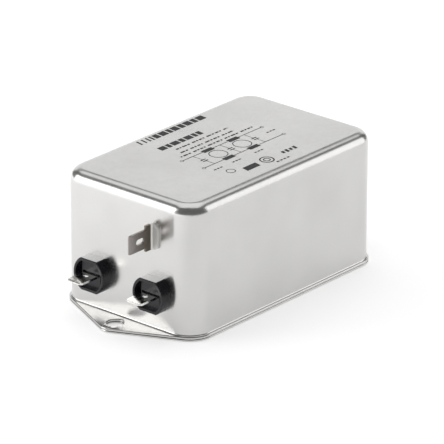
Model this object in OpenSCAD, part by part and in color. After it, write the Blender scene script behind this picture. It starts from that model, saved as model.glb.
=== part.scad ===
// Two-stage mains line filter in a drawn steel can, made to be bolted to a chassis.
// The origin is the middle of the base plate's underside. -X is the supply end, +X the load end.

/* [Can] */
// Length of the can over its end walls
can_l = 92.5; // [84:0.5:120]
// Width of the can over its side walls
can_w = 56; // [54:0.5:80]
// Overall height, base plate included
can_h = 46.1; // [43:0.1:70]
// Thickness of the drawn sheet
can_t = 0.8; // [0.6:0.1:1.1]
// Outer radius of the upright corners
corner_r = 8; // [5:0.5:10]
// Outer radius round the roof
roof_r = 3.75; // [2:0.25:4]
// How far the rim stands out past the walls
rim_w = 0.75; // [0.7:0.05:2]
// Radius in the angle between wall and rim
bend_r = 0.6; // [0.3:0.05:0.7]

/* [Mounting] */
// Thickness of the base plate
plate_t = 0.8; // [0.6:0.1:1.2]
// From an end wall to the middle of its fixing hole
hole_out = 5.25; // [5:0.25:10]
// Diameter of a fixing hole, for an M5 screw
hole_d = 5.8; // [4.3:0.1:6.4]
// Radius of an ear round its fixing hole
ear_r = 5.25; // [4.5:0.25:8]

/* [Line terminals] */
// Distance between the two terminals of one end
terminal_pitch = 25.2; // [22:0.1:26]
// Height of the terminals above the base plate's underside
terminal_z = 13.8; // [11:0.1:18]
// Diameter of a bushing over its round sides
bushing_d = 13; // [12:0.1:13.5]
// Height of a bushing across its flats
bushing_flat = 11.2; // [10:0.1:12]
// How far a bushing stands out of the wall
bushing_out = 4; // [3.8:0.1:8]
// Bevel round a bushing's outer edge
bushing_bevel = 0.25; // [0.1:0.05:0.5]
// Wall of the bushing's socket
bushing_wall = 1; // [0.8:0.1:1.3]
// Depth of the socket in front of the block that holds the blade
socket_depth = 1.5; // [1:0.1:2.5]
// Depth of the pockets beside the block
pocket_depth = 3.4; // [2.6:0.1:3.6]
// Width of the block
block_w = 7.8; // [7.2:0.1:9]
// Diameter of the bushing's neck in the wall
neck_d = 10.4; // [10:0.1:11]
// Height of the neck across its flats
neck_flat = 8.4; // [7.5:0.1:9]
// Length of the neck behind the wall
neck_in = 5; // [4:0.1:6]
// How far a snap barb stands out of the neck
barb_h = 0.7; // [0.4:0.05:1]
// Length of a snap barb
barb_l = 3; // [2:0.1:3.8]
// Width of a snap barb
barb_w = 3; // [2:0.25:5]

/* [Blade tabs] */
// Width of a blade
tab_w = 6.3; // [4.8:0.1:6.4]
// Thickness of a blade
tab_t = 0.8; // [0.5:0.05:0.8]
// How far a line blade stands out of the wall
tab_out = 11.1; // [9:0.1:14]
// Width of the shoulder that stops a blade behind its bushing
tab_shoulder_w = 8; // [7:0.1:9]
// Length of the shoulder, with its solder eye
tab_shoulder_l = 6.4; // [5.5:0.1:7]
// Diameter of the holes in a line blade
tab_hole_d = 1.8; // [1.4:0.1:2]
// From a line blade's tip to the middle of its outer hole
tab_hole_in = 6; // [3:0.1:6.2]
// Length of the bevels at a line blade's tip
tip_bevel_l = 1.1; // [0.6:0.1:1.6]
// How far each bevel comes in from the blade's edge
tip_bevel_in = 0.8; // [0.3:0.1:1]

/* [Earth tab] */
// Depth of the earth tab's middle below the roof
earth_drop = 13; // [10:0.1:16]
// How far the earth tab stands out of the wall
earth_out = 11.4; // [10:0.1:14]
// Length of the narrow blade
earth_blade_l = 7.9; // [7.5:0.1:8.5]
// Height of the shoulder behind the blade
earth_shoulder_h = 8.8; // [7.5:0.1:9]
// Width of the foot welded to the wall, with the blade's thickness
earth_foot_w = 3.3; // [3:0.1:8]
// Height of the foot
earth_foot_h = 8.2; // [6:0.1:8.8]
// Radius inside the bend between foot and blade
earth_bend_r = 0.6; // [0.3:0.05:0.8]
// Radius of the foot's free corners
earth_foot_r = 1.3; // [0.5:0.1:1.5]
// Radius of the corners at the blade's tip
earth_tip_r = 0.4; // [0.2:0.1:1]
// From the blade's tip to the middle of its oblong hole
earth_hole_in = 5.2; // [4:0.1:5.5]
// Length of the oblong hole
earth_hole_l = 3.9; // [2.4:0.1:4]
// Width of the oblong hole
earth_hole_w = 2; // [1.4:0.1:2.4]

/* [Chokes] */
// Outer diameter of a choke's ring core
core_od = 31; // [28:0.5:32]
// Inner diameter of the ring core
core_id = 19; // [18:0.5:20]
// Height of the ring core
core_h = 12; // [10:0.5:13]
// Radius of the core's rounded edges
core_edge_r = 1.3; // [0.8:0.1:1.6]
// Diameter of the winding wire
wire_d = 1.3; // [0.8:0.05:1.4]
// Turns in each winding
turns = 10; // [6:1:10]
// Gap between the two windings of a choke, as an angle at the core's axis
winding_gap = 35; // [30:1:50]
// Gap between the two chokes' cores
core_gap = 8; // [7:0.5:12]
// Thickness of the divider in a core's hole
divider_t = 1.2; // [0.8:0.1:1.6]
// How far the divider's lips reach over the core
divider_lip_l = 3; // [1:0.25:5]
// Thickness of the divider's lips
divider_lip_t = 1; // [0.6:0.1:1.2]

/* [Capacitors and resistor] */
// Thickness of a box capacitor, along the can
box_cap_t = 11; // [8:0.5:12]
// Length of a box capacitor, across the can
box_cap_l = 26; // [25:0.5:28]
// Height of a box capacitor
box_cap_h = 16; // [12:0.5:17]
// Distance between a box capacitor's leads
box_cap_pitch = 22.5; // [22:0.5:23]
// Diameter of a box capacitor's leads
box_lead_d = 0.8; // [0.6:0.1:1]
// Gap between a blade's inner end and the box capacitor next to it
box_cap_gap = 6.5; // [4:0.5:8]
// Diameter of a disc capacitor
disc_cap_d = 9; // [8:0.5:10]
// Thickness of a disc capacitor
disc_cap_t = 4; // [3:0.25:4.5]
// Distance between a disc capacitor's leads
disc_cap_pitch = 7.5; // [5:0.5:7.5]
// Diameter of a disc capacitor's leads
disc_lead_d = 0.6; // [0.5:0.1:0.8]
// Diameter of the resistor's body
resistor_d = 3.8; // [2.5:0.1:4]
// Length of the resistor's body
resistor_l = 11; // [9:0.5:12]
// Diameter of the resistor's leads
resistor_lead_d = 0.7; // [0.5:0.1:0.8]

/* [Fillings] */
// Thickness of the insulating sheet on the base plate
sheet_t = 0.4; // [0.2:0.1:0.6]
// Depth of the cast resin between the roof and the chokes
bed_t = 3.1; // [2.5:0.1:6]
// Diameter of the earth wire
earth_wire_d = 1.2; // [0.8:0.1:1.4]

/* [Fits] */
// Clearance round a piece that is pushed through a hole
fit = 0.05; // [0.02:0.01:0.1]

/* [Hidden] */
$fn = 64;

steel = "#d9d8d5";
black = "#1c1b1d";
tinned = "#b9b4aa";
copper = "#b5652e";
ferrite = "#3f5f48";
board = "#e9e4d6";
cap_yellow = "#d9b23c";
disc_blue = "#3f6fa8";
resistor_tan = "#cdb98f";
film = "#efeee8";
resin = "#4a4038";

line = 1;     // side of the line conductor, towards +Y
neutral = -1; // side of the neutral conductor, towards -Y
supply = -1;  // end with the earth tab
load = 1;

overcut = 1;
flange_z = plate_t;
in_x = can_l / 2 - can_t;
in_y = can_w / 2 - can_t;
in_r = corner_r - can_t;
roof_in = can_h - can_t;
hole_x = can_l / 2 + hole_out;

function tab_y(side) = side * terminal_pitch / 2;
tab_top = terminal_z + tab_t / 2;
tab_seat = neck_in + can_t;                 // from the wall's outer face in to the shoulder
tab_end = in_x - neck_in - tab_shoulder_l;  // inner end of a line blade, from the middle
eye_x = in_x - neck_in - tab_hole_d;        // solder eye in the shoulder
joint_x = eye_x - 1.5;                      // the other solder joints, clear of the eye
coin_l = 1.2; // length of the thinned tip of a blade
coin_t = 0.2; // how much each face falls away there

earth_z = can_h - earth_drop;
earth_back = earth_foot_w / 2;       // the foot is centred over the neutral terminal
earth_turn_r = tab_t + earth_bend_r; // outside of the bend

wire_r = wire_d / 2;
choke_x = (core_od + core_gap) / 2;
choke_z = roof_in - bed_t - wire_d - core_h / 2;
turn_in = core_id / 2 - wire_r - fit;
turn_out = core_od / 2 + wire_r + fit;
turn_z = core_h / 2 + wire_r;
turn_bend = wire_r + core_edge_r - 0.3;
turn_step = (180 - winding_gap) / turns;
winding_lap = 2.2;  // length of a winding's end along its blade
winding_drop = 4;   // straight run of a winding's end below the turns
// a winding's end lies midway between the shoulder's inner edge and the box capacitor's lead
winding_y = (tab_y(line) - tab_shoulder_w / 2 + (box_cap_pitch - box_lead_d) / 2) / 2;

box_cap_x = tab_end - box_cap_gap - box_cap_t / 2;
box_cap_top = plate_t + sheet_t + box_cap_h;
lead_run_z = box_cap_top + 1.8;
lead_stub = 0.8;    // bare lead between a box capacitor and the joint over it

disc_gap = 0.5;     // between a disc capacitor and the bushing's neck below it
disc_z = terminal_z + neck_flat / 2 + disc_gap + disc_cap_d / 2;
disc_lead_z = tab_top + 2;
disc_blade_y = terminal_pitch / 2 + 2.75;
earth_wire_flat = 0.1; // how far the earth wire is pressed flat against the wall
earth_wire_x = in_x - earth_wire_d / 2 + earth_wire_flat;
earth_wire_z = disc_z + disc_cap_d / 2 + 2.5;
earth_wire_end = can_w / 2 - corner_r;
earth_joint_y = earth_wire_end - 1;

// ---- shared shapes ----

// A flat rectangle with round corners
module rounded_rect(l, w, r) {
    square([l - 2 * r, w], center = true);
    square([l, w - 2 * r], center = true);
    for (sx = [-1, 1], sy = [-1, 1])
        translate([sx * (l / 2 - r), sy * (w / 2 - r)]) circle(r);
}

// Carries a section once round the can: the section's x runs outwards from a corner's centre
module round_the_can() {
    for (k = [0:3]) {
        lengthwise = k % 2 == 0;
        run = (lengthwise ? can_l : can_w) - 2 * corner_r;
        out = (lengthwise ? can_w : can_l) / 2 - corner_r;
        rotate(90 * k) {
            translate([-run / 2, out, 0]) rotate([90, 0, 90]) linear_extrude(run) children();
            translate([run / 2, out, 0]) rotate_extrude(angle = 90) children();
        }
    }
}

// A quarter of a disc, in the corner towards +x and +y
module quarter(r) {
    intersection() {
        circle(r);
        square(r);
    }
}

// Extrudes a section along X, with its x towards Y and its y towards Z
module along_x(from, to) {
    translate([from, 0, 0]) rotate([90, 0, 90]) linear_extrude(to - from) children();
}

// Extrudes a section along Y, with its x towards X and its y towards Z
module along_y(from, to) {
    translate([0, to, 0]) rotate([90, 0, 0]) linear_extrude(to - from) children();
}

// Places what is drawn with +X pointing out of an end wall's outer face
module at_end(end, y, z) {
    translate([end * can_l / 2, y, z]) mirror([end < 0 ? 1 : 0, 0, 0]) children();
}

// A disc with two flats
module double_d(d, flat) {
    intersection() {
        circle(d = d);
        square([d, flat], center = true);
    }
}

// A slot with round ends, lying along x
module oblong(l, w) {
    square([l - w, w], center = true);
    for (s = [-1, 1]) translate([s * (l - w) / 2, 0]) circle(d = w);
}

function unit(v) = v / norm(v);

// The points of one rounded corner of a route
function corner_arc(a, b, c, r, steps) =
    let (u = unit(a - b), v = unit(c - b), half = acos(u * v) / 2, turn = 180 - 2 * half)
    let (centre = b + unit(u + v) * r / sin(half), reach = r / tan(half))
    let (s = b + u * reach - centre, e = b + v * reach - centre)
    [for (k = [0:steps])
        centre + (sin((1 - k / steps) * turn) * s + sin(k / steps * turn) * e) / sin(turn)];

// A route of straight runs with its corners rounded
function rounded_route(p, r, steps) = [
    p[0],
    for (i = [1:len(p) - 2]) each corner_arc(p[i - 1], p[i], p[i + 1], r, steps),
    p[len(p) - 1],
];

// A wire along a route. Its flats face along the direction round the upright axis at [axis_x, 0].
module wire(route, d, sides, axis_x = 0) {
    n = len(route);
    across = d / 2 / cos(180 / sides);
    rings = [
        for (i = [0:n - 1])
            let (t = unit(route[min(i + 1, n - 1)] - route[max(i - 1, 0)]))
            let (w = cross([0, 0, 1], route[i] - [axis_x, 0, 0]))
            let (u = unit(w - (w * t) * t), v = cross(t, u))
            for (k = [0:sides - 1])
                let (a = (k + 0.5) * 360 / sides)
                route[i] + across * (cos(a) * u + sin(a) * v)
    ];
    skin = [
        for (i = [0:n - 2], k = [0:sides - 1])
            let (a = i * sides + k, b = i * sides + (k + 1) % sides)
            each [[a, a + sides, b], [b, a + sides, b + sides]]
    ];
    ends = [[for (k = [0:sides - 1]) k], [for (k = [sides - 1:-1:0]) (n - 1) * sides + k]];
    polyhedron(rings, concat(skin, ends), convexity = 10);
}

// ---- can ----

// Section through wall, roof edge and rim
module can_section() {
    knee = can_h - roof_r;
    in_knee_r = roof_r - can_t;
    difference() {
        union() {
            translate([0, flange_z]) square([corner_r, knee - flange_z]);
            translate([0, knee]) square([corner_r - roof_r, roof_r]);
            translate([corner_r - roof_r, knee]) quarter(roof_r);
            translate([corner_r, flange_z]) square([rim_w, can_t]);
            translate([corner_r, flange_z + can_t]) difference() {
                square(bend_r);
                translate([bend_r, bend_r]) circle(bend_r);
            }
        }
        translate([-overcut, -overcut]) square([in_r + overcut, knee + overcut]);
        translate([-overcut, knee - overcut])
            square([corner_r - roof_r + overcut, roof_r - can_t + overcut]);
        translate([corner_r - roof_r, knee]) quarter(in_knee_r);
        translate([in_r, 0]) difference() {
            square([can_t, flange_z + can_t]);
            translate([can_t, flange_z + can_t]) circle(can_t);
        }
    }
}

// One ear, from the tip circle back to the rim's corners along their common tangents
module ear() {
    rim_r = corner_r + rim_w;
    corner = [can_l / 2 - corner_r, can_w / 2 - corner_r];
    tip = [hole_x, 0];
    back = corner - tip;
    angle = atan2(back[1], back[0]) - acos((ear_r - rim_r) / norm(back));
    n = [cos(angle), sin(angle)];
    upper = [corner + rim_r * n, tip + ear_r * n];
    polygon([upper[0], upper[1], [upper[1][0], -upper[1][1]], [upper[0][0], -upper[0][1]]]);
    translate(tip) circle(ear_r);
}

module ears() {
    difference() {
        for (s = [0, 1]) mirror([s, 0]) ear();
        rounded_rect(can_l, can_w, corner_r);
    }
}

module fixing_holes() {
    for (s = [-1, 1])
        translate([s * hole_x, 0, -overcut])
            cylinder(d = hole_d, h = plate_t + can_t + 2 * overcut);
}

module can_shell() color(steel) difference() {
    union() {
        round_the_can() can_section();
        translate([0, 0, roof_in + can_t / 2])
            cube([can_l - 2 * corner_r, can_w - 2 * corner_r, can_t], center = true);
        translate([0, 0, flange_z]) linear_extrude(can_t) ears();
    }
    fixing_holes();
    for (end = [supply, load], side = [line, neutral])
        at_end(end, tab_y(side), terminal_z)
            along_x(-can_t - overcut, overcut) double_d(neck_d + 2 * fit, neck_flat + 2 * fit);
}

module base_plate() color(steel) difference() {
    union() {
        linear_extrude(plate_t) rounded_rect(can_l + 2 * rim_w, can_w + 2 * rim_w, corner_r + rim_w);
        linear_extrude(plate_t) ears();
    }
    fixing_holes();
}

// ---- line terminals ----

// The part of a bushing outside the wall, with flats above and below and a bevelled edge
module collar() {
    r = bushing_d / 2;
    h = bushing_flat / 2;
    edge = bushing_out - bushing_bevel;
    intersection() {
        rotate([0, 90, 0]) rotate_extrude()
            polygon([[0, 0], [r, 0], [r, edge], [r - bushing_bevel, bushing_out], [0, bushing_out]]);
        along_y(-r, r) polygon([[0, -h], [edge, -h], [bushing_out, -h + bushing_bevel],
            [bushing_out, h - bushing_bevel], [edge, h], [0, h]]);
    }
}

module barb() {
    root = 1;
    translate([-can_t, 0, -barb_w / 2]) linear_extrude(barb_w) polygon([
        [0, neck_d / 2 - root],
        [0, neck_d / 2 + barb_h],
        [-barb_l, neck_d / 2],
        [-barb_l, neck_d / 2 - root],
    ]);
}

// Socket for the push-on connector: shallow over the block, deeper in a pocket on either side
module socket() {
    inner_d = bushing_d - 2 * bushing_wall;
    inner_flat = bushing_flat - 2 * bushing_wall;
    along_x(bushing_out - socket_depth, bushing_out + overcut) double_d(inner_d, inner_flat);
    along_x(bushing_out - pocket_depth, bushing_out) difference() {
        double_d(inner_d, inner_flat);
        square([block_w, bushing_flat], center = true);
    }
}

// Moulded bushing: collar and socket outside, keyed neck with two snap barbs inside
module bushing() color(black) difference() {
    groove_l = 0.8;
    groove_h = 0.45;
    union() {
        collar();
        along_x(-can_t - neck_in, 0) double_d(neck_d, neck_flat);
        for (s = [0, 1]) mirror([0, s, 0]) barb();
    }
    socket();
    // slot that holds the blade, and a groove across the block over it
    cube([4 * bushing_out, tab_w + 2 * fit, tab_t + 2 * fit], center = true);
    translate([bushing_out - socket_depth - groove_l, -block_w / 2, tab_t / 2 - groove_h])
        cube([groove_l + overcut, block_w, 2 * groove_h]);
}

// Section through a blade's thickness, with the thinned tip
module blade_section(from, to) {
    h = tab_t / 2;
    coin = to - coin_l;
    polygon([[from, -h], [coin, -h], [to, -h + coin_t], [to, h - coin_t], [coin, h], [from, h]]);
}

// Stamped blade: bevelled tip and hole outside, shoulder and solder eye inside
module line_tab() color(tinned) intersection() {
    half = tab_w / 2;
    blade_end = tab_out - tip_bevel_l;
    translate([0, 0, -tab_t / 2]) linear_extrude(tab_t) difference() {
        union() {
            polygon([[-tab_seat - overcut, -half], [blade_end, -half], [tab_out, -half + tip_bevel_in],
                [tab_out, half - tip_bevel_in], [blade_end, half], [-tab_seat - overcut, half]]);
            translate([-tab_seat - tab_shoulder_l, -tab_shoulder_w / 2])
                square([tab_shoulder_l, tab_shoulder_w]);
        }
        translate([tab_out - tab_hole_in, 0]) circle(d = tab_hole_d);
        translate([-tab_seat - tab_hole_d, 0]) circle(d = tab_hole_d);
    }
    along_y(-tab_shoulder_w, tab_shoulder_w) blade_section(-tab_seat - tab_shoulder_l - overcut, tab_out);
}

// ---- earth tab ----

// Seen from above: foot flat on the wall, bend, blade standing out
module earth_plan() {
    translate([0, -earth_back]) square([tab_t, earth_foot_w - earth_turn_r]);
    translate([earth_turn_r, earth_back - earth_turn_r]) mirror([1, 0]) difference() {
        quarter(earth_turn_r);
        circle(earth_bend_r);
    }
    translate([0, earth_back - tab_t / 2]) blade_section(earth_turn_r, earth_out);
}

// Seen from the side: shoulder and standard blade
module earth_side() {
    shoulder_end = earth_out - earth_blade_l;
    difference() {
        union() {
            translate([-overcut, -earth_shoulder_h / 2]) square([shoulder_end + overcut, earth_shoulder_h]);
            translate([shoulder_end, 0]) rounded_rect(2 * earth_blade_l, tab_w, earth_tip_r);
        }
        translate([earth_out - earth_hole_in, 0]) oblong(earth_hole_l, earth_hole_w);
    }
}

// Seen from the front: foot with two rounded corners, and the bend at full height
module earth_front() {
    translate([earth_back - earth_turn_r, 0])
        rounded_rect(2 * (earth_foot_w - earth_turn_r), earth_foot_h, earth_foot_r);
    translate([earth_back - earth_turn_r, -earth_shoulder_h / 2])
        square([2 * earth_turn_r, earth_shoulder_h]);
}

module earth_tab() color(tinned) at_end(supply, tab_y(neutral), earth_z) intersection() {
    translate([0, 0, -earth_shoulder_h / 2]) linear_extrude(earth_shoulder_h) earth_plan();
    along_y(-earth_foot_w, earth_foot_w) earth_side();
    along_x(-overcut, earth_out + overcut) earth_front();
}

// ---- chokes ----

// Ring core with rounded edges
module core() color(ferrite) translate([choke_x, 0, choke_z]) rotate_extrude()
    translate([(core_od + core_id) / 4, 0]) rounded_rect((core_od - core_id) / 2, core_h, core_edge_r);

// Plate across the core's hole, with lips that hook over both faces of the core
module divider() {
    half_l = sqrt(pow(core_id / 2, 2) - pow(divider_t / 2, 2));
    color(board) translate([choke_x, 0, choke_z]) along_y(-divider_t / 2, divider_t / 2) {
        square([2 * half_l, core_h + 2 * divider_lip_t], center = true);
        for (s = [-1, 1])
            translate([0, s * (core_h + divider_lip_t) / 2])
                square([2 * (half_l + divider_lip_l), divider_lip_t], center = true);
    }
}

// A point of a turn on the load-side choke, at a radius, a height and an angle about the core
function turn_point(r, z, a) = [choke_x + r * cos(a), r * sin(a), choke_z + z];

// From the blade's upper face up into the turns, round the core, and down to the middle capacitor
function winding_route() =
    let (first = winding_gap / 2, mid_x = (box_lead_d + wire_d) / 2 + fit, mid_y = box_cap_pitch / 2)
    [
        [joint_x, winding_y, tab_top + wire_r],
        [joint_x - winding_lap, winding_y, tab_top + wire_r],
        turn_point(turn_out, -turn_z - winding_drop, first),
        for (k = [0:turns - 1]) let (a = first + k * turn_step, b = a + turn_step / 2) each [
            turn_point(turn_out, turn_z, a), turn_point(turn_in, turn_z, b),
            turn_point(turn_in, -turn_z, b), turn_point(turn_out, -turn_z, a + turn_step),
        ],
        [mid_x, mid_y, lead_run_z + winding_drop],
        [mid_x, mid_y, box_cap_top + lead_stub],
    ];

module winding(side) color(copper) mirror([0, side < 0 ? 1 : 0, 0])
    wire(rounded_route(winding_route(), turn_bend, 3), wire_d, 8, choke_x);

// ---- capacitors, resistor and wires ----

// Box capacitor standing on the insulating sheet, with a shallow recess in its potted top
module box_body() {
    corner = 0.8;
    recess = 0.5;
    difference() {
        translate([0, 0, box_cap_top - box_cap_h]) linear_extrude(box_cap_h)
            rounded_rect(box_cap_t, box_cap_l, corner);
        translate([0, 0, box_cap_top - recess]) linear_extrude(overcut)
            rounded_rect(box_cap_t - 2 * corner, box_cap_l - 2 * corner, corner / 2);
    }
}

// Box capacitor between the two blades of one end
module end_box_capacitor() color(cap_yellow) {
    translate([box_cap_x, 0, 0]) box_body();
    for (side = [line, neutral]) {
        y = side * box_cap_pitch / 2;
        wire(rounded_route([
            [box_cap_x, y, box_cap_top - lead_stub], [box_cap_x, y, lead_run_z],
            [joint_x, y, lead_run_z], [joint_x, y, tab_top],
        ], 1, 3), box_lead_d, 6, -can_l);
    }
}

// Box capacitor between the two joints in the middle
module middle_box_capacitor() color(cap_yellow) {
    box_body();
    for (side = [line, neutral])
        translate([0, side * box_cap_pitch / 2, box_cap_top - lead_stub])
            cylinder(d = box_lead_d, h = lead_stub + winding_drop);
}

// Disc capacitor from a blade of the supply end to the earth wire, drawn for the load end
module disc_capacitor(side) {
    near_y = side * disc_blade_y;
    far_y = side * (disc_blade_y + disc_cap_pitch);
    rise_x = earth_wire_x - (earth_wire_d + disc_lead_d / cos(30)) / 2;
    edge_r = disc_cap_t / 2 - 0.4;
    color(disc_blue) {
        translate([eye_x, (near_y + far_y) / 2, disc_z]) rotate([0, 90, 0]) rotate_extrude()
            difference() {
                rounded_rect(disc_cap_d, disc_cap_t, edge_r);
                translate([-disc_cap_d, -disc_cap_t]) square([disc_cap_d, 2 * disc_cap_t]);
            }
        translate([eye_x, near_y, tab_top]) cylinder(d = disc_lead_d, h = disc_z - tab_top);
        wire(rounded_route([
            [eye_x, far_y, disc_z], [eye_x, far_y, disc_lead_z],
            [rise_x, side * earth_joint_y, disc_lead_z], [rise_x, side * earth_joint_y, earth_wire_z + 1],
        ], 0.8, 3), disc_lead_d, 6, -can_l);
    }
}

// Axial resistor lying across the two blades of the load end, over their solder eyes
module discharge_resistor() {
    waist = 0.5;
    cap_l = 2.6;
    lead_over = 2;
    lead_l = terminal_pitch + 2 * lead_over;
    color(resistor_tan) translate([eye_x, 0, tab_top + resistor_lead_d / 2]) rotate([-90, 0, 0]) {
        cylinder(d = resistor_d - waist, h = resistor_l, center = true);
        for (s = [-1, 1])
            translate([0, 0, s * (resistor_l - cap_l) / 2])
                cylinder(d = resistor_d, h = cap_l, center = true);
        cylinder(d = resistor_lead_d, h = lead_l, center = true);
    }
}

// Bare wire pressed and welded to the inside of the supply end's wall
module earth_wire() color(copper) along_y(-earth_wire_end, earth_wire_end)
    translate([-earth_wire_x, earth_wire_z]) intersection() {
        circle(d = earth_wire_d);
        translate([earth_wire_flat - earth_wire_d / 2, -earth_wire_d]) square(2 * earth_wire_d);
    }

// ---- fillings ----

// Plastic sheet between the base plate and what stands on it
module base_insulator() {
    gap = 1;
    color(film) translate([0, 0, plate_t]) linear_extrude(sheet_t)
        rounded_rect(2 * (in_x - gap), 2 * (in_y - gap), in_r - gap);
}

// Cast resin that fills the roof and holds the chokes by their upper turns
module resin_bed() color(resin) {
    bottom = roof_in - bed_t;
    in_knee_r = roof_r - can_t;
    round_the_can() intersection() {
        translate([0, bottom]) square([in_r, bed_t]);
        union() {
            square([in_r, roof_in - in_knee_r]);
            square([in_r - in_knee_r, roof_in]);
            translate([in_r - in_knee_r, roof_in - in_knee_r]) quarter(in_knee_r);
        }
    }
    translate([0, 0, bottom + bed_t / 2])
        cube([can_l - 2 * corner_r, can_w - 2 * corner_r, bed_t], center = true);
}

// ---- assembly ----

module to_supply() { mirror([1, 0, 0]) children(); }

can_shell();
base_plate();
at_end(supply, tab_y(line), terminal_z) bushing();  // supply_bushing_line
at_end(supply, tab_y(neutral), terminal_z) bushing();  // supply_bushing_neutral
at_end(load, tab_y(line), terminal_z) bushing();  // load_bushing_line
at_end(load, tab_y(neutral), terminal_z) bushing();  // load_bushing_neutral
at_end(supply, tab_y(line), terminal_z) line_tab();  // supply_tab_line
at_end(supply, tab_y(neutral), terminal_z) line_tab();  // supply_tab_neutral
at_end(load, tab_y(line), terminal_z) line_tab();  // load_tab_line
at_end(load, tab_y(neutral), terminal_z) line_tab();  // load_tab_neutral
earth_tab();
to_supply() core();  // choke_1_core
core();  // choke_2_core
to_supply() divider();  // choke_1_divider
divider();  // choke_2_divider
to_supply() winding(line);  // choke_1_winding_line
to_supply() winding(neutral);  // choke_1_winding_neutral
winding(line);  // choke_2_winding_line
winding(neutral);  // choke_2_winding_neutral
to_supply() end_box_capacitor();  // x_capacitor_supply
middle_box_capacitor();  // x_capacitor_middle
end_box_capacitor();  // x_capacitor_load
to_supply() disc_capacitor(line);  // y_capacitor_line
to_supply() disc_capacitor(neutral);  // y_capacitor_neutral
discharge_resistor();
earth_wire();
base_insulator();
resin_bed();
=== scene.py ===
from math import acos, asin, atan2, cos, degrees, hypot, pi, radians, sin

import bmesh
import bpy
from mathutils import Matrix, Vector


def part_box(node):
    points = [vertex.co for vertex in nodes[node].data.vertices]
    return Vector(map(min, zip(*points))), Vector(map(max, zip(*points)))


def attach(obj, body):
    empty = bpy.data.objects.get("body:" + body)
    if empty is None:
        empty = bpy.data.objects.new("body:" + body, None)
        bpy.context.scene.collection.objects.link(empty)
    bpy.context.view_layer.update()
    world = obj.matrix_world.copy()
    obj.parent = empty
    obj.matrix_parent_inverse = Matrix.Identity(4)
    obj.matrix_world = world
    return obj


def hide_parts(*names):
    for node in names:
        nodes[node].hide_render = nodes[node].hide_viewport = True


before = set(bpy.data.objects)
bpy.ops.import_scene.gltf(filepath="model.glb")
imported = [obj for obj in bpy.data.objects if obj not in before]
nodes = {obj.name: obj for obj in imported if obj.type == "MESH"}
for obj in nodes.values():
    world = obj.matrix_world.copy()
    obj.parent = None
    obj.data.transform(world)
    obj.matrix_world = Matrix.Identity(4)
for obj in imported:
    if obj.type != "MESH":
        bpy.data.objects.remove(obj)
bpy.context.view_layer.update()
scene = bpy.context.scene
mm = 0.001

# Camera: a long lens a metre and a half away, looking down on the supply end and one long
# side. Its angles are measured round the filter, from the front and up from the floor.
camera = bpy.data.objects.new("camera", bpy.data.cameras.new("camera"))
scene.collection.objects.link(camera)
scene.camera = camera
camera.data.lens = 381.8
camera.data.sensor_width = 36
camera.data.clip_end = 20
azimuth, elevation, roll = radians(-49.434), radians(22.529), radians(0.146)
distance = 1.57807
aim = Vector((0.034319, 0.028760, 0.0016))
back = Vector((
    sin(azimuth) * cos(elevation),
    -cos(azimuth) * cos(elevation),
    sin(elevation),
))
camera.location = aim + back * distance
camera.rotation_mode = "QUATERNION"
level_view = (-back).to_track_quat("-Z", "Y")
camera.rotation_quaternion = level_view @ Matrix.Rotation(roll, 3, "Z").to_quaternion()
scene.view_settings.view_transform = "Standard"


# Studio floor: one pale matt sheet, glowing a little so that it stays white under the soft
# boxes. It glows more beyond the supply end, where that end's wall mirrors it.
def material(name, colour, roughness, metallic=0.0):
    """A material and the parts of its node tree that a section adds to."""
    m = bpy.data.materials.new(name)
    m.use_nodes = True
    shader = m.node_tree.nodes["Principled BSDF"]
    shader.inputs["Base Color"].default_value = (*colour, 1)
    shader.inputs["Roughness"].default_value = roughness
    shader.inputs["Metallic"].default_value = metallic
    return m, shader


def noise(m, scale, stretch=(1, 1, 1), detail=3.0, seed=0.0):
    """Cloudy pattern fixed to the object; scale is in features per metre."""
    tree = m.node_tree
    place = tree.nodes.new("ShaderNodeTexCoord")
    turn = tree.nodes.new("ShaderNodeMapping")
    turn.inputs["Scale"].default_value = stretch
    turn.inputs["Location"].default_value = (seed, seed * 0.7, seed * 1.3)
    cloud = tree.nodes.new("ShaderNodeTexNoise")
    cloud.inputs["Scale"].default_value = scale
    cloud.inputs["Detail"].default_value = detail
    tree.links.new(place.outputs["Object"], turn.inputs["Vector"])
    tree.links.new(turn.outputs["Vector"], cloud.inputs["Vector"])
    return cloud.outputs["Fac"]


def spread(m, fac, low, high, socket, fac_low=0.3, fac_high=0.7):
    """Drives a number on the shader between low and high."""
    reach = m.node_tree.nodes.new("ShaderNodeMapRange")
    reach.inputs["From Min"].default_value = fac_low
    reach.inputs["From Max"].default_value = fac_high
    reach.inputs["To Min"].default_value = low
    reach.inputs["To Max"].default_value = high
    m.node_tree.links.new(fac, reach.inputs["Value"])
    m.node_tree.links.new(reach.outputs["Result"], socket)


def link(name, bm, edge=0.0, angle=35):
    """Turns a bmesh into a finished object at the origin. Edges sharper than angle, in
    degrees, are rounded by a bevel edge wide, or left sharp where edge is 0."""
    bmesh.ops.remove_doubles(bm, verts=bm.verts, dist=1e-6)
    mesh = bpy.data.meshes.new(name)
    bm.to_mesh(mesh)
    bm.free()
    for face in mesh.polygons:
        face.use_smooth = True
    obj = bpy.data.objects.new(name, mesh)
    scene.collection.objects.link(obj)
    if edge:
        worn = obj.modifiers.new("worn edges", "BEVEL")
        worn.width = edge
        worn.segments = 2
        worn.limit_method = "ANGLE"
        worn.angle_limit = radians(angle)
    else:
        mesh.set_sharp_from_angle(angle=radians(angle))
    flat = obj.modifiers.new("flat faces stay flat", "WEIGHTED_NORMAL")
    flat.keep_sharp = True
    flat.weight = 90
    return obj


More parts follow.
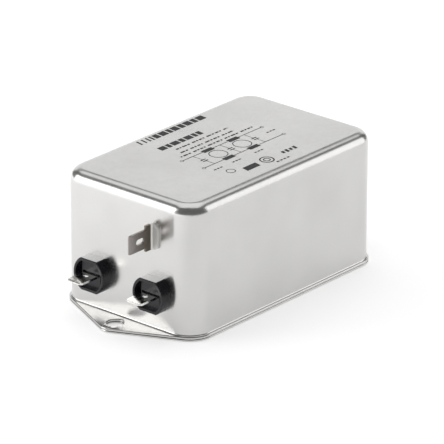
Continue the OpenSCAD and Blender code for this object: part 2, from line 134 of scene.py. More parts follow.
bm = bmesh.new()
half_floor = 5
bmesh.ops.create_grid(bm, x_segments=1, y_segments=1, size=half_floor)
floor = link("floor", bm)
floor_white, shader = material("floor_white", (0.86, 0.86, 0.86), 0.9)
shader.inputs["Specular IOR Level"].default_value = 0.1
shader.inputs["Emission Color"].default_value = (1, 1, 1, 1)
spread(floor_white, noise(floor_white, 2), 0.85, 0.95, shader.inputs["Roughness"])
brighter_toward = 139
glow, far_glow = 0.52, 1.1
glow_starts, glow_full = 0.04, 0.30
tree = floor_white.node_tree
turn = tree.nodes.new("ShaderNodeMapping")
turn.inputs["Rotation"].default_value = (0, 0, radians(-brighter_toward))
apart = tree.nodes.new("ShaderNodeSeparateXYZ")
spot = tree.nodes.new("ShaderNodeTexCoord")
tree.links.new(spot.outputs["Object"], turn.inputs["Vector"])
tree.links.new(turn.outputs["Vector"], apart.inputs["Vector"])
spread(
    floor_white, apart.outputs["X"], glow, far_glow,
    shader.inputs["Emission Strength"], glow_starts, glow_full,
)
floor.data.materials.append(floor_white)

# Studio light: a big soft box overhead, one at each side behind the filter, a pale backdrop
# far behind, and a dim room on the camera's side that gives the rounded edges dark lines.
world = bpy.data.worlds.new("dim_room")
scene.world = world
world.use_nodes = True
world.node_tree.nodes["Background"].inputs["Color"].default_value = (1, 1, 1, 1)
world.node_tree.nodes["Background"].inputs["Strength"].default_value = 0.16


def soft_box(name, toward, lift, distance, width, tall, radiance):
    """An area light seen from the filter toward an azimuth and elevation in degrees."""
    data = bpy.data.lights.new(name, "AREA")
    data.shape = "RECTANGLE"
    data.size, data.size_y = width, tall
    data.energy = radiance * width * tall * pi
    box = bpy.data.objects.new(name, data)
    out = Vector((
        cos(radians(toward)) * cos(radians(lift)),
        sin(radians(toward)) * cos(radians(lift)),
        sin(radians(lift)),
    ))
    box.location = out * distance
    box.rotation_euler = (-out).to_track_quat("-Z", "Y").to_euler()
    box.visible_camera = False
    scene.collection.objects.link(box)


# name, toward, lift, distance, width, tall, radiance
soft_box("overhead", 40, 75, 2.0, 2.6, 2.3, 1.0)
soft_box("left_box", 132, 19, 2.0, 1.3, 1.3, 2.8)
soft_box("right_box", -36, 19, 2.0, 1.15, 1.3, 1.5)
soft_box("backdrop", 42, 14, 2.6, 3.2, 1.55, 0.95)


# Can: one deep-drawn shell of thin plated steel, 0.8 mm thick. Its roof, walls and rim are
# one sheet, and the rim runs out into an ear at each end, over the base plate. The
# terminals' holes are punched in the end walls with two flats.
sheet = 0.8 * mm
low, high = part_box("can_shell")
ink_room = 0.03 * mm
roof_top = high.z - ink_room
corner_r, roof_r, rim_w, bend_r = 8 * mm, 3.75 * mm, 0.75 * mm, 0.6 * mm
wall_x, wall_y = 46.25 * mm, 28 * mm
axis_x, axis_y = wall_x - corner_r, wall_y - corner_r
ear_r, ear_x, ear_hole_r = 5.25 * mm, 51.5 * mm, 2.9 * mm
flange_low, flange_top = low.z, low.z + sheet
soft = 0.18 * mm
terminal_y, terminal_z = 12.6 * mm, 13.8 * mm


def shades(m, fac, stops, socket):
    """Drives a colour on the shader through a ramp of (position, colour) stops."""
    ramp = m.node_tree.nodes.new("ShaderNodeValToRGB")
    bar = ramp.color_ramp.elements
    while len(bar) < len(stops):
        bar.new(0.5)
    for element, (at, colour) in zip(bar, stops):
        element.position = at
        element.color = (*colour, 1)
    m.node_tree.links.new(fac, ramp.inputs["Fac"])
    m.node_tree.links.new(ramp.outputs["Color"], socket)


def relief(m, shader, fac, depth, under=None):
    """Fine relief of the given depth in metres, over any relief already there."""
    bump = m.node_tree.nodes.new("ShaderNodeBump")
    bump.inputs["Strength"].default_value = 1.0
    bump.inputs["Distance"].default_value = depth
    m.node_tree.links.new(fac, bump.inputs["Height"])
    if under is not None:
        m.node_tree.links.new(under, bump.inputs["Normal"])
    m.node_tree.links.new(bump.outputs["Normal"], shader.inputs["Normal"])
    return bump.outputs["Normal"]


def arc(x, y, r, start, end, steps):
    """Points on a circle from one angle to another, in degrees, both ends included."""
    return [
        (x + r * cos(radians(start + (end - start) * i / steps)),
         y + r * sin(radians(start + (end - start) * i / steps)))
        for i in range(steps + 1)
    ]


def ring(bm, points, close=True):
    """A loop of edges through three-dimensional points."""
    verts = [bm.verts.new(p) for p in points]
    pairs = list(zip(verts, verts[1:])) + ([(verts[-1], verts[0])] if close else [])
    return verts, [bm.edges.new(pair) for pair in pairs]


def plate_outline(inset):
    """Rim and both ears: the tangents of the corners' circles and the ears' circles."""
    rim_r = corner_r + rim_w
    across, along = axis_y, axis_x - ear_x
    lean = degrees(atan2(across, along) - acos((ear_r - rim_r) / hypot(across, along)))
    quarter = arc(ear_x, 0, ear_r - inset, 0, lean, 14)
    quarter += arc(axis_x, axis_y, rim_r - inset, lean, 90, 10)
    upper = quarter + [(-x, y) for x, y in reversed(quarter)]
    return upper + [(x, -y) for x, y in reversed(upper[1:-1])]


def plate_edge(bm, bottom, top):
    """Outer edge and both fixing holes of a plate; returns the bottom's and the top's loops."""
    levels = ((bottom, soft), (bottom + soft, 0), (top - soft, 0), (top, soft))
    loops = []
    for z, inset in levels:
        edges = ring(bm, [(x, y, z) for x, y in plate_outline(inset)])[1]
        hole = arc(0, 0, ear_hole_r + inset, 0, 345, 23)
        holes = [ring(bm, [(s * ear_x + x, y, z) for x, y in hole])[1] for s in (-1, 1)]
        loops.append((edges, holes[0], holes[1]))
    for lower, upper in zip(loops, loops[1:]):
        for a, b in zip(lower, upper):
            bmesh.ops.bridge_loops(bm, edges=a + b)
    return [e for part in loops[0] for e in part], [e for part in loops[-1] for e in part]


def flat_fill(bm, edges):
    """Fills the flat region between an outer loop and the loops inside it."""
    bmesh.ops.triangle_fill(bm, use_beauty=True, use_dissolve=False, edges=edges)


def double_d(r, flat, round_steps=18):
    """A circle cut by two flats, each flat from its middle, as (across, up) points."""
    lean = degrees(asin(flat / r))
    right = arc(0, 0, r, -lean, lean, round_steps)
    return right + arc(0, 0, r, 180 - lean, 180 + lean, round_steps)


def verts_in(geom):
    """The vertices in what an operator returned."""
    return [v for v in geom if isinstance(v, bmesh.types.BMVert)]


bm = bmesh.new()
knee = roof_top - roof_r
outside = [(0, roof_top)] + arc(corner_r - roof_r, knee, roof_r, 90, 0, 22)
outside += arc(corner_r + bend_r, flange_top + bend_r, bend_r, 180, 270, 6)
inside = arc(corner_r, flange_top, sheet, 270, 180, 6)
inside += arc(corner_r - roof_r, knee, roof_r - sheet, 0, 90, 8) + [(0, roof_top - sheet)]
for profile in (outside, inside):
    verts, edges = ring(bm, [(axis_x + r, axis_y, z) for r, z in profile], close=False)
    turned = bmesh.ops.spin(
        bm, geom=verts + edges, cent=(axis_x, axis_y, 0), axis=(0, 0, 1),
        angle=radians(90), steps=24,
    )["geom_last"]
    turned = [e for e in turned if isinstance(e, bmesh.types.BMEdge)]
    for chain, move in ((edges, (0, -axis_y, 0)), (turned, (-axis_x, 0, 0))):
        drawn = bmesh.ops.extrude_edge_only(bm, edges=chain)["geom"]
        bmesh.ops.translate(bm, vec=move, verts=verts_in(drawn))
    z = profile[0][1] if profile is outside else profile[-1][1]
    corners = ((0, 0), (axis_x, 0), (axis_x, axis_y), (0, axis_y))
    bm.faces.new([bm.verts.new((x, y, z)) for x, y in corners])
bmesh.ops.remove_doubles(bm, verts=bm.verts, dist=1e-6)
for axis in "XY":
    bmesh.ops.mirror(bm, geom=bm.verts[:] + bm.edges[:] + bm.faces[:], axis=axis, merge_dist=1e-6)
bmesh.ops.remove_doubles(bm, verts=bm.verts, dist=1e-6)
rim_inside, foot_inside = (
    [e for e in bm.edges if e.is_boundary and all(abs(v.co.z - z) < 1e-6 for v in e.verts)]
    for z in (flange_top, flange_low)
)
# the flat of each end wall is filled again round its two holes
neck_hole = double_d(5.3 * mm, 4.3 * mm)
smallest_flat = 100 * mm * mm
for s in (-1, 1):
    hole_rims = []
    for x in (wall_x, wall_x - sheet):
        panel = [
            f for f in bm.faces
            if all(abs(v.co.x - s * x) < 1e-6 for v in f.verts)
            and f.calc_area() > smallest_flat
        ]
        around = {
            e for f in panel for e in f.edges if sum(g in panel for g in e.link_faces) == 1
        }
        bmesh.ops.delete(bm, geom=panel, context="FACES")
        around = [e for e in around if e.is_valid]
        holes = []
        for side in (-1, 1):
            holes.append(ring(bm, [
                (s * x, side * terminal_y + a, terminal_z + b) for a, b in neck_hole
            ])[1])
        flat_fill(bm, around + holes[0] + holes[1])
        hole_rims.append(holes)
    for a, b in zip(*hole_rims):
        bmesh.ops.bridge_loops(bm, edges=a + b)
under, over = plate_edge(bm, flange_low, flange_top)
flat_fill(bm, over + rim_inside)
flat_fill(bm, under + foot_inside)
bmesh.ops.recalc_face_normals(bm, faces=bm.faces)
can = link("can", bm, angle=50)

plated_steel, shader = material("plated_steel", (0.605, 0.60, 0.59), 0.28, 1.0)
cloud = noise(plated_steel, 55, detail=2)
grain = noise(plated_steel, 900, stretch=(1, 1, 2.5), detail=4, seed=3)
shades(
    plated_steel, cloud, [(0.3, (0.585, 0.58, 0.57)), (0.7, (0.625, 0.62, 0.61))],
    shader.inputs["Base Color"],
)
spread(plated_steel, grain, 0.22, 0.27, shader.inputs["Roughness"])
wave_depth, grain_depth = 0.12 * mm, 0.0006 * mm
waves = noise(plated_steel, 60, detail=1, seed=5)
wave = relief(plated_steel, shader, waves, wave_depth)
relief(plated_steel, shader, grain, grain_depth, under=wave)
can.data.materials.append(plated_steel)
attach(can, "root")
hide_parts("can_shell")

# Base plate: a flat blanked sheet with the can's outline, the same steel, closing the can
# from below. The screws that hold the filter down go through both sheets.
bm = bmesh.new()
bottom, top = plate_edge(bm, 0, sheet)
flat_fill(bm, bottom)
flat_fill(bm, top)
bmesh.ops.recalc_face_normals(bm, faces=bm.faces)
base = link("base", bm, angle=50)
base.data.materials.append(plated_steel)
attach(base, "root")
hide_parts("base_plate")

# Print on the roof: black ink, one pass of a pad. Plain bars and blocks stand where a maker's
# words would be, over a two-stage circuit of lines, blocks and rings.
ink_low, ink_top = roof_top - 0.005 * mm, roof_top + 0.02 * mm


def bar(bm, x, y, length, tall, lean=0.0):
    """One inked rectangle, its left end at x; lean slides its top along."""
    made = bmesh.ops.create_cube(bm, size=1)["verts"]
    for v in made:
        up = v.co.y + 0.5
        v.co = Vector((
            (x + (v.co.x + 0.5) * length + up * lean) * mm,
            (y + v.co.y * tall) * mm,
            ink_top if v.co.z > 0 else ink_low,
        ))


def ink_ring(bm, x, y, r, width):
    """One inked circle line."""
    loops = []
    for z in (ink_low, ink_top):
        for radius in (r - width / 2, r + width / 2):
            line = arc(x, y, radius, 0, 350, 35)
            loops.append(ring(bm, [(a * mm, b * mm, z) for a, b in line])[1])
    for a, b in ((0, 1), (2, 3), (0, 2), (1, 3)):
        bmesh.ops.bridge_loops(bm, edges=loops[a] + loops[b])


bm = bmesh.new()
# heading: four thin strokes and a row of blocks, with a second row below
for x, length, tall, lean in (
    (-14.8, 0.7, 3.0, 0.5), (-12.6, 0.7, 3.0, 0.5), (-10.6, 0.7, 3.0, 0.5), (-8.9, 0.8, 3.2, 0.5),
    (-7.3, 2.3, 3.0, 0.3), (-4.4, 3.1, 3.0, 0.3), (-0.7, 1.7, 3.0, 0.3), (1.6, 2.8, 3.0, 0.3),
    (5.0, 2.2, 3.0, 0.3), (7.8, 3.0, 3.0, 0.3), (11.4, 2.0, 3.0, 0.3), (14.0, 3.3, 3.0, 0.3),
):
    bar(bm, x, 22.4, length, tall, lean)
for x, length in (
    (-14.2, 3.0), (-10.6, 1.7), (-8.3, 3.4), (-4.3, 2.0), (-1.7, 3.2), (2.1, 1.6), (4.3, 1.9),
):
    bar(bm, x, 13.9, length, 2.7, lean=0.3)
# three rows of fine dashes
for y, start, end, shift in (
    (9.9, -10.6, 14.8, 0), (6.9, -11.8, 14.2, 2), (4.4, -14.6, 22.0, 1),
):
    x, k = start, shift
    while x < end:
        length = (1.3, 0.7, 2.1, 1.0, 1.6, 0.8)[k % 6]
        bar(bm, x, y, min(length, end - x), 0.75, lean=0.15)
        x += length + (0.45, 0.6, 0.45, 1.3)[k % 4]
        k += 1
# two-stage circuit: two lines with end rings, a choke's blocks and ring in each stage, and
# three capacitors across the lines
for y in (1.9, -7.4):
    for start, end in ((-16.2, -6.7), (-1.8, 5.6), (10.6, 22.2)):
        bar(bm, start, y, end - start, 0.3)
    for x in (-16.8, 22.8):
        ink_ring(bm, x, y, 0.55, 0.22)
for x, y in ((-4.2, 1.9), (8.4, 1.9), (-4.5, -7.4), (7.7, -7.4)):
    bar(bm, x - 2.5, y, 5.0, 2.0)
for x in (-4.4, 7.4):
    ink_ring(bm, x, -2.8, 3.1, 0.32)
for x in (-11.7, 1.5, 13.5):
    for y, tall in ((1.9, 4.2), (-3.9, 3.4)):
        bar(bm, x, y - tall / 2, 0.22, tall)
    bar(bm, x - 1.1, -2.5, 2.4, 0.5)
    bar(bm, x - 1.1, -3.6, 2.4, 0.5)
# short dashes beside the circuit, and four plain marks below it
for x, y in ((-16.0, -11.0), (-7.0, -11.0), (4.0, -11.0), (20.0, -2.6)):
    for k in range(3):
        bar(bm, x + 1.5 * k, y, 1.0, 0.6)
ink_ring(bm, -13.0, -15.4, 1.5, 0.3)
bar(bm, -9.4, -18.0, 6.4, 2.9, lean=0.6)
ink_ring(bm, 2.0, -17.8, 2.3, 0.5)
ink_ring(bm, 2.0, -17.8, 1.1, 0.4)
for k in range(4):
    bar(bm, 9.6 + 1.9 * k, -17.6, 1.2, 1.6 + 0.5 * (k % 2), lean=0.4)
    bar(bm, 2.6 + 1.7 * k, -21.5, 1.1, 0.7)
bmesh.ops.recalc_face_normals(bm, faces=bm.faces)
printed = link("roof_print", bm)
black_ink, shader = material("black_ink", (0.02, 0.02, 0.022), 0.55)
worn_ink = noise(black_ink, 2600, detail=5, seed=9)
shades(
    black_ink, worn_ink, [(0.5, (0.004, 0.004, 0.005)), (0.9, (0.03, 0.03, 0.032))],
    shader.inputs["Base Color"],
)
spread(black_ink, worn_ink, 0.45, 0.7, shader.inputs["Roughness"])
printed.data.materials.append(black_ink)
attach(printed, "root")

# Bushings: four glossy black mouldings, snapped into the end walls from outside. Each has a
# collar with two flats, a socket with a block across it and two deeper pockets beside the
# block, a groove over the blade's slot, and a neck with two barbs behind the wall.
black_moulding, shader = material("black_moulding", (0.009, 0.008, 0.012), 0.26)
shader.inputs["Specular IOR Level"].default_value = 0.4
mottle = noise(black_moulding, 1400, detail=4, seed=2)
shades(
    black_moulding, mottle, [(0.3, (0.006, 0.0055, 0.008)), (0.7, (0.014, 0.012, 0.018))],
    shader.inputs["Base Color"],
)
sheen = noise(black_moulding, 300, detail=2, seed=4)
spread(black_moulding, sheen, 0.2, 0.34, shader.inputs["Roughness"])
relief(black_moulding, shader, mottle, 0.000004)
# the two flats come off polished faces of the mould, so they shine more than the rest
polished_flat, shader = material("polished_flat", (0.009, 0.008, 0.012), 0.08)
shader.inputs["Specular IOR Level"].default_value = 1.0
shader.inputs["Coat Weight"].default_value = 1.0
shader.inputs["Coat Roughness"].default_value = 0.06
shader.inputs["Coat IOR"].default_value = 1.8
streak = noise(polished_flat, 1500, stretch=(0.2, 1, 1), detail=3, seed=7)
shades(
    polished_flat, streak, [(0.3, (0.006, 0.0055, 0.008)), (0.7, (0.03, 0.028, 0.034))],
    shader.inputs["Base Color"],
)
spread(polished_flat, streak, 0.05, 0.18, shader.inputs["Roughness"])


def place(end, side):
    """From a bushing's own frame, x out of the wall, to its place in an end wall."""
    turn = Matrix.Identity(4) if end > 0 else Matrix.Rotation(pi, 4, "Z")
    return Matrix.Translation((end * wall_x, side * terminal_y, terminal_z)) @ turn


def bushing_mesh():
    """A bushing in its own frame, in metres."""
    bm = bmesh.new()
    out, socket_deep, pocket_deep, groove_deep = 4 * mm, 1.5 * mm, 1.9 * mm, 0.8 * mm
    socket_r, socket_flat, half_block = 5.5 * mm, 4.6 * mm, 3.9 * mm
    lean = degrees(acos(half_block / socket_r))
    inner_lean = degrees(asin(socket_flat / socket_r))
    right = arc(0, 0, socket_r, -inner_lean, -lean, 3)[:-1]
    right += arc(0, 0, socket_r, -lean, lean, 16) + arc(0, 0, socket_r, lean, inner_lean, 3)[1:]
    inner = right + [(-a, -b) for a, b in right]
    count = len(right) - 1
    # neck, collar and mouth, loop by loop from inside the can to the collar's face
    steps = [(-5.8, 5.2, 4.2), (0, 5.2, 4.2), (0, 6.5, 5.6), (3.75, 6.5, 5.6), (4, 6.25, 5.35)]
    loops = [
        ring(bm, [(x * mm, a, b) for a, b in double_d(r * mm, flat * mm, count)])
        for x, r, flat in steps
    ]
    bmesh.ops.contextual_create(bm, geom=loops[0][1])
    mouth = ring(bm, [(out, a, b) for a, b in inner])
    block_x = out - socket_deep
    depth = ring(bm, [(block_x, a, b) for a, b in inner])
    for a, b in zip(loops + [mouth], loops[1:] + [mouth, depth]):
        bmesh.ops.bridge_loops(bm, edges=a[1] + b[1])
    # floor of the socket: the block between two chords, and a pocket beyond each
    verts = depth[0]
    half = len(right)
    pockets = []
    for start in (0, half):
        pockets.append(bm.faces.new(verts[start + 3:start + 20]))
    bm.faces.new(verts[0:4] + verts[19:half + 4] + verts[half + 19:])
    sunk = bmesh.ops.extrude_face_region(bm, geom=pockets)["geom"]
    bmesh.ops.translate(bm, vec=(-pocket_deep, 0, 0), verts=verts_in(sunk))
    bmesh.ops.delete(bm, geom=[f for f in pockets if f.is_valid], context="FACES_ONLY")
    # groove over the blade's slot, cut in the block's face
    for at, normal in (
        ((0, 0, -0.05 * mm), (0, 0, 1)), ((0, 0, 0.85 * mm), (0, 0, 1)),
        ((0, 3.6 * mm, 0), (0, 1, 0)), ((0, -3.6 * mm, 0), (0, 1, 0)),
    ):
        faces = [f for f in bm.faces if all(abs(v.co.x - block_x) < 1e-7 for v in f.verts)]
        geom = faces + list({e for f in faces for e in f.edges})
        geom += list({v for f in faces for v in f.verts})
        bmesh.ops.bisect_plane(bm, geom=geom, dist=1e-7, plane_co=at, plane_no=normal)
    strip = [
        f for f in bm.faces
        if all(abs(v.co.x - block_x) < 1e-7 for v in f.verts)
        and abs(f.calc_center_median().z - 0.4 * mm) < 0.2 * mm
        and abs(f.calc_center_median().y) < 1 * mm
    ]
    sunk = bmesh.ops.extrude_face_region(bm, geom=strip)["geom"]
    bmesh.ops.translate(bm, vec=(-groove_deep, 0, 0), verts=verts_in(sunk))
    bmesh.ops.delete(bm, geom=[f for f in strip if f.is_valid], context="FACES_ONLY")
    bmesh.ops.remove_doubles(bm, verts=bm.verts, dist=1e-7)
    bmesh.ops.recalc_face_normals(bm, faces=bm.faces)
    # a wedge-shaped barb on each round side of the neck
    for s in (-1, 1):
        wedge = bmesh.ops.create_cube(bm, size=1)["verts"]
        for v in wedge:
            front = v.co.x > 0
            rise = 5.9 if front else 5.2
            v.co = Vector((
                -0.8 * mm if front else -3.8 * mm,
                s * (rise if v.co.y > 0 else 4.4) * mm,
                v.co.z * 3 * mm,
            ))
        if s < 0:
            bmesh.ops.reverse_faces(bm, faces=list({f for v in wedge for f in v.link_faces}))
    return bm


half_height = 5.6 * mm
for end, end_name in ((-1, "supply"), (1, "load")):
    for side, side_name in ((1, "line"), (-1, "neutral")):
        bm = bushing_mesh()
        bm.transform(place(end, side))
        piece = link(f"{end_name}_{side_name}_bushing", bm, edge=0.13 * mm, angle=40)
        piece.data.materials.append(black_moulding)
        piece.data.materials.append(polished_flat)
        for face in piece.data.polygons:
            on_flat = abs(abs(face.center.z - terminal_z) - half_height) < 0.01 * mm
            if on_flat and abs(face.normal.z) > 0.9:
                face.material_index = 1
        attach(piece, "root")
        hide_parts(f"{end_name}_bushing_{side_name}")

# Line blades: 6.3 x 0.8 mm tabs blanked from tinned brass, the tip coined thinner and its
# corners cut back, with a small round hole. A wide shoulder behind the bushing stops each
# blade, and has an eye for the soldered wire.
sheet_t, coined = 0.8 * mm, 1.2 * mm
tinned_blade, shader = material("tinned_blade", (0.8, 0.79, 0.765), 0.17, 1.0)
rolled = noise(tinned_blade, 900, stretch=(0.15, 1, 1), detail=4, seed=6)
shades(
    tinned_blade, rolled, [(0.3, (0.70, 0.69, 0.665)), (0.7, (0.84, 0.83, 0.805))],
    shader.inputs["Base Color"],
)
spread(tinned_blade, rolled, 0.12, 0.24, shader.inputs["Roughness"])
relief(tinned_blade, shader, rolled, 0.000003)


def blanked(bm, outline, holes, thick, plane):
    """A sheet with holes: its outline filled on one face and drawn out to its thickness."""
    loops = [ring(bm, [plane(a, b) for a, b in points])[1] for points in [outline] + holes]
    flat_fill(bm, [e for loop in loops for e in loop])
    drawn = bmesh.ops.extrude_face_region(bm, geom=bm.faces[:], use_keep_orig=True)["geom"]
    bmesh.ops.translate(bm, vec=thick, verts=verts_in(drawn))
    bmesh.ops.recalc_face_normals(bm, faces=bm.faces)


def line_blade():
    """A line blade in its bushing's frame."""
    bm = bmesh.new()
    outline = [
        (-12.2, -4), (-5.8, -4), (-5.8, -3.15), (9.9, -3.15), (10.0, -3.15), (11.1, -2.35),
        (11.1, 2.35), (10.0, 3.15), (9.9, 3.15), (-5.8, 3.15), (-5.8, 4), (-12.2, 4),
    ]
    outline = [(a * mm, b * mm) for a, b in outline]
    holes = [arc(x * mm, 0, 0.9 * mm, 0, 345, 23) for x in (5.1, -7.6)]
    blanked(bm, outline, holes, (0, 0, sheet_t), lambda a, b: (a, b, -sheet_t / 2))
    geom = bm.verts[:] + bm.edges[:] + bm.faces[:]
    coin_x = 9.9 * mm
    bmesh.ops.bisect_plane(
        bm, geom=geom, dist=1e-7, plane_co=(coin_x, 0, 0), plane_no=(1, 0, 0)
    )
    for v in bm.verts:
        thinner = max(0, v.co.x - coin_x) / coined * 0.5
        v.co.z *= 1 - thinner
    return bm


for end, end_name in ((-1, "supply"), (1, "load")):
    for side, side_name in ((1, "line"), (-1, "neutral")):
        bm = line_blade()
        bm.transform(place(end, side))
        piece = link(f"{end_name}_{side_name}_blade", bm, edge=0.06 * mm, angle=30)
        piece.data.materials.append(tinned_blade)
        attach(piece, "root")
        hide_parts(f"{end_name}_tab_{side_name}")

# Earth tab: a blade with a long hole, standing on edge out of the supply end's wall. Its root
# is a wider shoulder, bent round into a foot that lies on the wall and is welded to it.
low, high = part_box("earth_tab")
thick, bend_in = sheet_t, 0.6 * mm
half_shoulder, half_blade, blade_l = 4.4 * mm, 3.15 * mm, 7.9 * mm
foot_share = 8.2 / 8.8  # the foot's height to the shoulder's
foot_corner = 1.3 * mm
tip_x, foot_x = low.x, high.x
blade_high_y = high.y
bend_x, bend_y = foot_x - thick - bend_in, blade_high_y - thick - bend_in
middle_z = (low.z + high.z) / 2
step_x = tip_x + blade_l
coin_x = tip_x + coined
hole_x, hole_r, hole_half = tip_x + 5.2 * mm, 1.0 * mm, 0.95 * mm
tip = 0.4 * mm
outline = [(bend_x, -half_shoulder), (bend_x, half_shoulder), (step_x, half_shoulder)]
outline += [(step_x, half_blade), (coin_x, half_blade)]
outline += arc(tip_x + tip, half_blade - tip, tip, 90, 180, 4)
outline += arc(tip_x + tip, -half_blade + tip, tip, 180, 270, 4)
outline += [(coin_x, -half_blade), (step_x, -half_blade), (step_x, -half_shoulder)]
long_hole = arc(hole_x + hole_half, 0, hole_r, -90, 90, 12)
long_hole += arc(hole_x - hole_half, 0, hole_r, 90, 270, 12)
bm = bmesh.new()
blanked(
    bm, outline, [long_hole], (0, thick, 0),
    lambda a, b: (a, blade_high_y - thick, middle_z + b),
)
root = [f for f in bm.faces if all(abs(v.co.x - bend_x) < 1e-7 for v in f.verts)]
root_geom = root + list({e for f in root for e in f.edges})
root_geom += list({v for f in root for v in f.verts})
bent = bmesh.ops.spin(
    bm, geom=root_geom,
    cent=(bend_x, bend_y, 0), axis=(0, 0, 1), angle=radians(-90), steps=10,
)["geom_last"]
foot_face = [f for f in bent if isinstance(f, bmesh.types.BMFace)]
drawn = bmesh.ops.extrude_face_region(bm, geom=foot_face)["geom"]
bmesh.ops.delete(bm, geom=[f for f in foot_face if f.is_valid], context="FACES_ONLY")
for v in verts_in(drawn):
    v.co.y = bend_y - 0.3 * mm
    v.co.z = middle_z + (v.co.z - middle_z) * foot_share
last = [f for f in drawn if isinstance(f, bmesh.types.BMFace)]
drawn = bmesh.ops.extrude_face_region(bm, geom=last)["geom"]
bmesh.ops.delete(bm, geom=[f for f in last if f.is_valid], context="FACES_ONLY")
foot_end = verts_in(drawn)
for v in foot_end:
    v.co.y = low.y
corner_edges = [
    e for v in foot_end for e in v.link_edges
    if all(abs(w.co.y - low.y) < 1e-6 for w in e.verts)
    and abs(e.verts[0].co.z - e.verts[1].co.z) < 1e-6
]
bmesh.ops.bevel(
    bm, geom=list(set(corner_edges)), offset=foot_corner, offset_type="OFFSET", segments=6,
    profile=0.5, affect="EDGES", material=-1,
)
middle = blade_high_y - thick / 2
for v in bm.verts:
    if v.co.x < coin_x:
        v.co.y = middle + (v.co.y - middle) * (1 - 0.5 * (coin_x - v.co.x) / coined)
bmesh.ops.recalc_face_normals(bm, faces=bm.faces)
earth = link("earth_blade", bm, edge=0.06 * mm, angle=30)
earth_metal_painted_light, shader = material("earth_blade", (0.4, 0.37, 0.34), 0.28, 1.0)
where = earth_metal_painted_light.node_tree.nodes.new("ShaderNodeTexCoord")
apart = earth_metal_painted_light.node_tree.nodes.new("ShaderNodeSeparateXYZ")
earth_metal_painted_light.node_tree.links.new(where.outputs["Object"], apart.inputs["Vector"])
along = earth_metal_painted_light.node_tree.nodes.new("ShaderNodeMapRange")
along.inputs["From Min"].default_value = tip_x
along.inputs["From Max"].default_value = foot_x
earth_metal_painted_light.node_tree.links.new(apart.outputs["X"], along.inputs["Value"])
# painted light: the tab's colour darkens from the tip toward the bend as painted shade, and turns
# nearly white over the foot on the wall as a painted highlight
shades(
    earth_metal_painted_light, along.outputs["Result"],
    [
        (0.0, (0.30, 0.28, 0.27)), (0.62, (0.15, 0.13, 0.115)),
        (0.86, (0.11, 0.095, 0.075)), (0.93, (0.88, 0.87, 0.85)),
    ],
    shader.inputs["Base Color"],
)
drawn_lines = noise(earth_metal_painted_light, 1100, stretch=(0.2, 1, 1), detail=4, seed=8)
foot_starts, foot_full = 0.9, 0.93
spread(
    earth_metal_painted_light, along.outputs["Result"], 0.3, 0.7,
    shader.inputs["Roughness"], foot_starts, foot_full,
)
relief(earth_metal_painted_light, shader, drawn_lines, 0.000004)
earth.data.materials.append(earth_metal_painted_light)
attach(earth, "root")
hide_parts("earth_tab")


# Chokes: two ring cores of coated ferrite, each with two windings of enamelled copper and a
# board between them. They hang in the resin under the roof.
def dress(names, m):
    """Gives CAD nodes a finished material."""
    for name in names:
        slots = nodes[name].data.materials
        slots.clear()
        slots.append(m)


coated_ferrite, shader = material("coated_ferrite", (0.06, 0.13, 0.08), 0.35)
skin = noise(coated_ferrite, 700, detail=4)
shades(
    coated_ferrite, skin,
    [(0.3, (0.045, 0.10, 0.06)), (0.7, (0.075, 0.16, 0.10))],
    shader.inputs["Base Color"],
)
relief(coated_ferrite, shader, skin, 0.00003)
dress(["choke_1_core", "choke_2_core"], coated_ferrite)

divider_board, shader = material("divider_board", (0.78, 0.74, 0.64), 0.6)
fibre = noise(divider_board, 1800, stretch=(1, 1, 0.2), detail=4, seed=1)
shades(
    divider_board, fibre,
    [(0.3, (0.72, 0.67, 0.56)), (0.7, (0.84, 0.80, 0.71))],
    shader.inputs["Base Color"],
)
relief(divider_board, shader, fibre, 0.00001)
dress(["choke_1_divider", "choke_2_divider"], divider_board)

enamelled_copper, shader = material("enamelled_copper", (0.62, 0.25, 0.10), 0.22, 1.0)
shader.inputs["Coat Weight"].default_value = 0.6
shader.inputs["Coat Roughness"].default_value = 0.1
flow = noise(enamelled_copper, 500, detail=3, seed=7)
shades(
    enamelled_copper, flow,
    [(0.3, (0.55, 0.20, 0.08)), (0.7, (0.70, 0.31, 0.14))],
    shader.inputs["Base Color"],
)
windings = [f"choke_{i}_winding_{side}" for i in (1, 2) for side in ("line", "neutral")]
dress(windings, enamelled_copper)

# Capacitors and resistor: moulded box capacitors across the line, dipped ceramic discs from
# the line to earth, and a carbon-film discharge resistor with a lacquered body.
capacitor_case, shader = material("capacitor_case", (0.65, 0.45, 0.10), 0.4)
satin = noise(capacitor_case, 1200, detail=4, seed=2)
shades(
    capacitor_case, satin,
    [(0.3, (0.60, 0.41, 0.09)), (0.7, (0.70, 0.50, 0.13))],
    shader.inputs["Base Color"],
)
relief(capacitor_case, shader, satin, 0.000008)
dress(["x_capacitor_supply", "x_capacitor_middle", "x_capacitor_load"], capacitor_case)

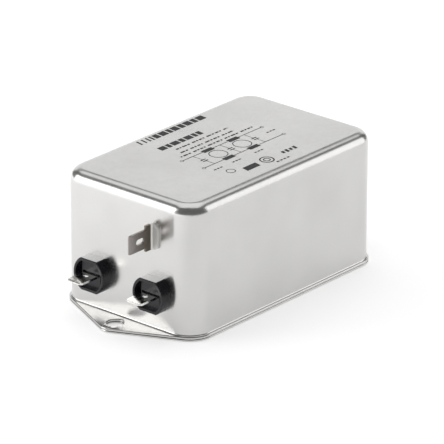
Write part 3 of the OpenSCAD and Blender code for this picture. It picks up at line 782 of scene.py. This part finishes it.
capacitor_disc, shader = material("capacitor_disc", (0.05, 0.16, 0.38), 0.35)
dip = noise(capacitor_disc, 500, detail=3, seed=3)
shades(
    capacitor_disc, dip,
    [(0.3, (0.04, 0.13, 0.32)), (0.7, (0.07, 0.20, 0.45))],
    shader.inputs["Base Color"],
)
relief(capacitor_disc, shader, dip, 0.00003)
dress(["y_capacitor_line", "y_capacitor_neutral"], capacitor_disc)

resistor_body, shader = material("resistor_body", (0.60, 0.46, 0.28), 0.4)
lacquer = noise(resistor_body, 900, detail=3, seed=5)
shades(
    resistor_body, lacquer,
    [(0.3, (0.54, 0.40, 0.23)), (0.7, (0.66, 0.52, 0.33))],
    shader.inputs["Base Color"],
)
relief(resistor_body, shader, lacquer, 0.00001)
dress(["discharge_resistor"], resistor_body)

# Earth wire, insulating sheet and resin: a bare copper wire welded along the wall, a milky
# sheet on the base plate, and a dark casting resin that holds the chokes under the roof.
bare_wire, shader = material("bare_wire", (0.72, 0.38, 0.22), 0.3, 1.0)
drawn_wire = noise(bare_wire, 800, stretch=(1, 0.1, 1), detail=3, seed=4)
shades(
    bare_wire, drawn_wire,
    [(0.3, (0.62, 0.31, 0.17)), (0.7, (0.80, 0.45, 0.28))],
    shader.inputs["Base Color"],
)
spread(bare_wire, drawn_wire, 0.24, 0.38, shader.inputs["Roughness"])
dress(["earth_wire"], bare_wire)

insulating_film, shader = material("insulating_film", (0.80, 0.79, 0.74), 0.3)
milk = noise(insulating_film, 200, detail=3, seed=6)
shades(
    insulating_film, milk,
    [(0.3, (0.76, 0.75, 0.70)), (0.7, (0.84, 0.83, 0.79))],
    shader.inputs["Base Color"],
)
relief(insulating_film, shader, milk, 0.00002)
dress(["base_insulator"], insulating_film)

cast_resin, shader = material("cast_resin", (0.07, 0.055, 0.045), 0.3)
pour = noise(cast_resin, 250, detail=4, seed=8)
shades(
    cast_resin, pour,
    [(0.3, (0.055, 0.042, 0.034)), (0.7, (0.09, 0.072, 0.06))],
    shader.inputs["Base Color"],
)
relief(cast_resin, shader, pour, 0.00004)
dress(["resin_bed"], cast_resin)
